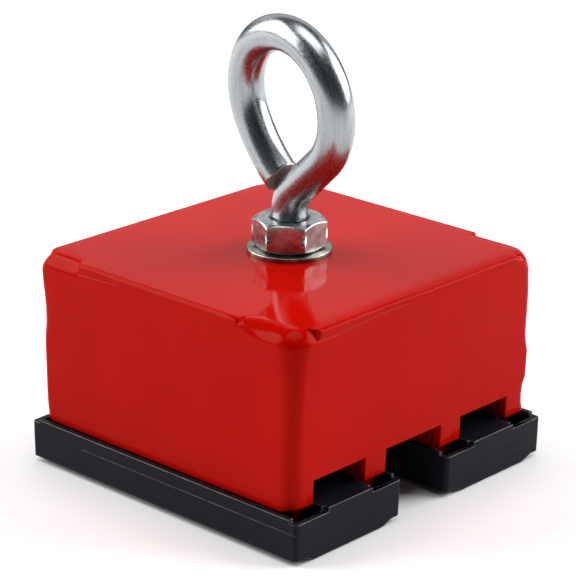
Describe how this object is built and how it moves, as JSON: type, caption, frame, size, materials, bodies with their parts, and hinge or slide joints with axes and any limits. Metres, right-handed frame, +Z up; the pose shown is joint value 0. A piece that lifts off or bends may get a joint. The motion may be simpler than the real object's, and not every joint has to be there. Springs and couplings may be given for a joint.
{
  "type": "lifting magnet",
  "caption": "Square pressed-steel lifting magnet with a bent-wire eyebolt on top, notched end walls and two pull-off moulded pole covers below.",
  "frame": {"origin": "centre of the footprint, on the plane that the pole covers rest on", "axes": "+Z up through the eyebolt's shank, Y along the pole plates and covers, X across the two magnet circuits, -Y the front end"},
  "size_m": [0.095, 0.0938, 0.1206],
  "materials": {
    "red_paint": "gloss red enamel",
    "pole_paint": "thin red enamel overspray",
    "cover_plastic": "satin black moulding",
    "bright_zinc": "bright zinc plate",
    "washer_zinc": "dull zinc plate",
    "bare_steel": "oiled steel",
    "aluminium_bar": "sawn bar",
    "ferrite": "ground hard ferrite",
    "resin": "cast resin"
  },
  "bodies": {
    "magnet_body": {"centre_block": "aluminium_bar", "core_rivet_back": "bare_steel", "core_rivet_front": "bare_steel", "ferrite_left_inner_back": "ferrite", "ferrite_left_inner_front": "ferrite", "ferrite_left_outer_back": "ferrite", "ferrite_left_outer_front": "ferrite", "ferrite_right_inner_back": "ferrite", "ferrite_right_inner_front": "ferrite", "ferrite_right_outer_back": "ferrite", "ferrite_right_outer_front": "ferrite", "housing_shell": "red_paint", "inner_pole_left": "pole_paint", "inner_pole_right": "pole_paint", "outer_pole_left": "pole_paint", "outer_pole_right": "pole_paint", "resin_seal_centre": "resin", "resin_seal_left": "resin", "resin_seal_right": "resin", "spacer_bar_left": "aluminium_bar", "spacer_bar_right": "aluminium_bar", "thread_bush": "bare_steel", "washer": "washer_zinc"},
    "eyebolt": {"eyebolt": "bright_zinc"},
    "lock_nut": {"lock_nut": "bright_zinc"},
    "cover_left": {"pole_cover_left": "cover_plastic"},
    "cover_right": {"pole_cover_right": "cover_plastic"}
  },
  "joints": [
    {"name": "eyebolt_turn", "type": "hinge", "parent": "magnet_body", "child": "eyebolt", "pos_m": [0, 0, 0.05], "axis": [0, 0, 1], "continuous": true},
    {"name": "lock_nut_turn", "type": "hinge", "parent": "eyebolt", "child": "lock_nut", "pos_m": [0, 0, 0.063], "axis": [0, 0, 1], "continuous": true},
    {"name": "cover_left_pull", "type": "slide", "parent": "magnet_body", "child": "cover_left", "axis": [0, 0, -1], "range_m": [0, 0.03]},
    {"name": "cover_right_pull", "type": "slide", "parent": "magnet_body", "child": "cover_right", "axis": [0, 0, -1], "range_m": [0, 0.03]}
  ]
}
